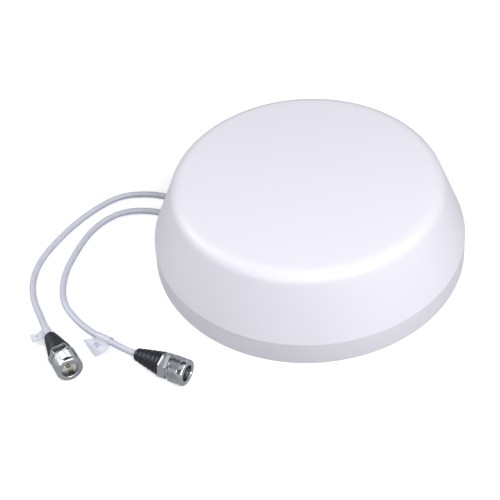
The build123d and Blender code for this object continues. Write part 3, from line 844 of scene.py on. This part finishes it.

# %% [markdown]
# The metals keep the default index and differ in colour and roughness. The sheets inside are rolled, so their
# grain is shallower than that of the castings. The connector's bore is plated metal like the rest of the jack. Its pale
# look is painted reflection: a pale matt colour without any metallic share stands in for the bright surround it
# mirrors.

# %% Metals
brass = finish("turned brass", "#C9A35C", 0.26, 0.4, 0.002, metallic=1.0, tint=0.06, blotch=4.0)
gold = finish("gold-plated contact", "#D3C8AE", 0.22, 0.3, 0.001, metallic=1.0, tint=0.06, blotch=2.0)
steel = finish("zinc-plated steel", "#BFC1C4", 0.30, 0.3, 0.002, metallic=1.0, tint=0.10, blotch=3.0)
aluminium = finish("rolled aluminium sheet", "#C8CACC", 0.34, 0.6, 0.002, metallic=1.0, tint=0.06, blotch=20.0)
tinned = finish("tinned steel sheet", "#BDBFC0", 0.32, 0.8, 0.002, metallic=1.0, tint=0.08, blotch=15.0)
casting = finish("zinc die casting", "#A9ABAE", 0.42, 0.7, 0.01, metallic=1.0, tint=0.10, blotch=6.0)
nickel = finish("bright nickel plate", "#B8BCC0", 0.18, 0.3, 0.0004, metallic=1.0, tint=0.08, spread=0.06, blotch=3.0)
# Painted reflection: the bore's pale matt colour stands in for the bright surround that its metal plating mirrors.
bore_painted_reflection = finish("bore plating, pale colour as painted reflection", "#F4F0EC", 0.50, 0.3, 0.001, blotch=2.0)

# %% Give every piece its finish
FINISHES = {
    "base_plate": abs_white,
    "dome_screws": steel,
    "threaded_inserts": brass,
    "ground_plane": aluminium,
    "ground_plane_screws": steel,
    "rivets": aluminium,
    "radiator": tinned,
    "radiator_posts": nylon,
    "isolator_wall": aluminium,
    "coax_clips": nylon,
    "feed_block": casting,
    "feed_pin": brass,
    "feed_bush": ptfe,
    "inner_coax": jacket,
    "gland": black_nylon,
    "gland_nut": black_nylon,
    "crimp_ferrule": nickel,
}


def paint(piece, material, *more):
    """Gives a piece its material, and any further ones its later material slots."""
    finishes = (material, *more)
    while len(piece.data.materials) < len(finishes):
        piece.data.materials.append(None)
    for i in range(len(piece.data.materials)):
        piece.data.materials[i] = finishes[min(i, len(more))]


for name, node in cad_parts.items():
    kind = name.rstrip("_12")  # the name without its port number
    if kind in FINISHES:
        paint(node, FINISHES[kind])
paint(dome, abs_white)
for pieces, material in (
    (cables, jacket),
    (boots, rubber),
    (insulators, ptfe),
    (contacts, gold),
    (labels, film),
    (marks, ink),
):
    for piece in pieces:
        paint(piece, material)
# The second slot, the bore, gets the pale colour that is painted reflection.
for piece in jacks:
    paint(piece, nickel, bore_painted_reflection)
print("materials:", len(bpy.data.materials))

# %% [markdown]
# ## Which pieces stand for which CAD nodes
# Every visible piece, the two pigtails too, hides the CAD node that it replaces and rides on the one body.

def declare(piece, node):
    """Hides the CAD node that a piece stands for, and lets the piece ride on the one body."""
    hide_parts(node)
    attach(piece, "root")


declare(dome, "radome")
for i in range(2):
    port = i + 1
    declare(cables[i], f"cord_{port}")
    declare(boots[i], f"boot_{port}")
    declare(jacks[i], f"jack_body_{port}")
    declare(insulators[i], f"jack_insulator_{port}")
    declare(contacts[i], f"jack_contact_{port}")
    declare(labels[i], f"flag_label_{port}")
    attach(marks[i], "root")
print("declared:", len(cables), "cords")

# %% [markdown]
# ## The set
# The product stands on a sheet of white paper, as in a light tent. Seen directly, the paper glows a little, and it
# fades to plain white away from the product, so that floor and background meet without a line. The light that it
# sends back up is weaker than that of real paper. Otherwise the dome's lower band would be as bright as its top.

# %% The floor
FLOOR_SIZE = 12.0
FLOOR_DROP = 0.2 * MM
FLOOR_GLOW = 0.35
FLOOR_NEAR = 0.25
FLOOR_FAR = 0.60
FLOOR_BOUNCE = 0.30
FLOOR_MIRRORED = 0.50

bpy.ops.object.select_all(action="DESELECT")
bpy.ops.mesh.primitive_plane_add(size=FLOOR_SIZE, location=(0, 0, -FLOOR_DROP))
floor = bpy.context.object
floor.name = "floor"

paper = bpy.data.materials.new("white paper floor")
paper.use_nodes = True
paper.node_tree.nodes.clear()
spot = add_node(paper, "ShaderNodeTexCoord", (-1300, 300))
reach = add_node(paper, "ShaderNodeVectorMath", (-1100, 300), operation="LENGTH")
fade = add_node(paper, "ShaderNodeMapRange", (-900, 300), {"From Min": FLOOR_NEAR, "From Max": FLOOR_FAR})
brighter = add_node(paper, "ShaderNodeMapRange", (-700, 100), {"To Min": FLOOR_GLOW, "To Max": 1.0})
seen = add_node(paper, "ShaderNodeBsdfDiffuse", (-400, 200), {"Color": colour("#FCFCFD")})
glow = add_node(paper, "ShaderNodeEmission", (-400, 50), {"Color": (1, 1, 1, 1)})
shown = add_node(paper, "ShaderNodeAddShader", (-200, 150))
floor_ray = add_node(paper, "ShaderNodeLightPath", (-700, 450))
returned = add_node(paper, "ShaderNodeMapRange", (-450, -100), {"To Min": FLOOR_BOUNCE, "To Max": FLOOR_MIRRORED})
bounced = add_node(paper, "ShaderNodeBsdfDiffuse", (-200, -50))
floor_mix = add_node(paper, "ShaderNodeMixShader", (0, 100))
floor_out = add_node(paper, "ShaderNodeOutputMaterial", (200, 100))
for start, end in (
    (spot.outputs["Object"], reach.inputs[0]),
    (reach.outputs["Value"], fade.inputs["Value"]),
    (fade.outputs["Result"], brighter.inputs["Value"]),
    (brighter.outputs["Result"], glow.inputs["Strength"]),
    (seen.outputs["BSDF"], shown.inputs[0]),
    (glow.outputs["Emission"], shown.inputs[1]),
    (floor_ray.outputs["Is Glossy Ray"], returned.inputs["Value"]),
    (returned.outputs["Result"], bounced.inputs["Color"]),
    (floor_ray.outputs["Is Camera Ray"], floor_mix.inputs["Fac"]),
    (bounced.outputs["BSDF"], floor_mix.inputs[1]),
    (shown.outputs["Shader"], floor_mix.inputs[2]),
    (floor_mix.outputs["Shader"], floor_out.inputs["Surface"]),
):
    paper.node_tree.links.new(start, end)
paint(floor, paper)
print("floor:", FLOOR_SIZE, "m across")

# %% [markdown]
# The surround is plain white to the camera. To polished metal it is bright round the horizon and overhead, with a
# dark band between, because metal only looks like metal if it has something dark to mirror. Its light on matt
# surfaces is very weak, so the soft boxes alone shape the dome.

# %% The surround
SURROUND_BELOW = (0.45, 0.45, 0.46, 1)
SURROUND_ABOVE = (0.95, 0.95, 1.00, 1)
SURROUND_LEVELS = ((0.49, 0.90), (0.64, 0.90), (0.70, 0.30), (0.78, 0.08), (0.90, 0.08), (0.95, 0.80))
SURROUND_DIFFUSE = 0.02
SURROUND_GLOSSY = 0.8
COOL = 1.03

world = bpy.data.worlds.new("surround")
bpy.context.scene.world = world
world.use_nodes = True
sky = world.node_tree
sky.nodes.clear()
view_dir = add_node(world, "ShaderNodeTexCoord", (-900, 0))
split = add_node(world, "ShaderNodeSeparateXYZ", (-700, 0))
height = add_node(world, "ShaderNodeMapRange", (-500, 0), {"From Min": -1.0, "From Max": 1.0})
bands = add_node(world, "ShaderNodeValToRGB", (-300, 0))
ramp = bands.color_ramp
ramp.elements[0].color = SURROUND_BELOW
ramp.elements[1].color = SURROUND_ABOVE
for position, level in SURROUND_LEVELS:
    ramp.elements.new(position).color = (level, level, level * COOL, 1)
ray = add_node(world, "ShaderNodeLightPath", (-300, 450))
strength = add_node(
    world, "ShaderNodeMapRange", (-50, 350), {"To Min": SURROUND_DIFFUSE, "To Max": SURROUND_GLOSSY}
)
light = add_node(world, "ShaderNodeBackground", (150, 100))
plain = add_node(world, "ShaderNodeBackground", (150, -100), {"Color": (1, 1, 1, 1), "Strength": 1.0})
either = add_node(world, "ShaderNodeMixShader", (350, 100))
output = add_node(world, "ShaderNodeOutputWorld", (550, 100))
for start, end in (
    (view_dir.outputs["Generated"], split.inputs["Vector"]),
    (split.outputs["Z"], height.inputs["Value"]),
    (height.outputs["Result"], bands.inputs["Fac"]),
    (bands.outputs["Color"], light.inputs["Color"]),
    (ray.outputs["Is Glossy Ray"], strength.inputs["Value"]),
    (strength.outputs["Result"], light.inputs["Strength"]),
    (ray.outputs["Is Camera Ray"], either.inputs["Fac"]),
    (light.outputs["Background"], either.inputs[1]),
    (plain.outputs["Background"], either.inputs[2]),
    (either.outputs["Shader"], output.inputs["Surface"]),
):
    sky.links.new(start, end)
print("surround bands:", len(SURROUND_LEVELS))

# %% [markdown]
# The soft boxes on the right are the strongest, and make the right shoulder the brightest part of the dome. Those in
# front and on the left keep the other sides a shade darker. One small lamp close to the table shines into the mouths
# of the connectors. Light linking keeps it off everything but the jacks and what is in them.

# %% The lights
DOME_MIDDLE = (0.0, 0.0, 0.02)
BETWEEN_MOUTHS = (-0.056, -0.140, 0.008)
SOFT_BOXES = {
    "key from the right": ((0.81, 0.07, 0.74), 0.6, 6.0),
    "front right": ((0.55, -0.55, 0.78), 0.6, 5.4),
    "front": ((0.0, -0.90, 0.63), 0.6, 2.7),
    "left": ((-0.89, -0.16, 0.63), 0.6, 5.6),
    "overhead": ((0.0, 0.15, 1.30), 1.2, 1.0),
}
MOUTH_LAMP_PLACE = (0.31, -0.29, 0.08)
MOUTH_LAMP_SIZE = 0.08
MOUTH_LAMP_POWER = 1.4


def soft_box(name, place, aim, size, power):
    """Round soft box at a place, aimed at a point, with its size in metres and its power in watts."""
    bpy.ops.object.light_add(type="AREA", location=place)
    lamp = bpy.context.object
    lamp.name = name
    lamp.data.shape = "DISK"
    lamp.data.size = size
    lamp.data.energy = power
    lamp.rotation_euler = (Vector(aim) - Vector(place)).to_track_quat("-Z", "Y").to_euler()
    return lamp


lamps = [soft_box(name, place, DOME_MIDDLE, size, power) for name, (place, size, power) in SOFT_BOXES.items()]
mouth_lamp = soft_box("into the mouths", MOUTH_LAMP_PLACE, BETWEEN_MOUTHS, MOUTH_LAMP_SIZE, MOUTH_LAMP_POWER)
mouth_lamp.visible_camera = False
lit = bpy.data.collections.new("lit by the mouth lamp")
for piece in (*jacks, *insulators, *contacts):
    lit.objects.link(piece)
mouth_lamp.light_linking.receiver_collection = lit
bpy.context.scene.view_settings.view_transform = "Standard"
print("lights:", [lamp.name for lamp in (*lamps, mouth_lamp)])
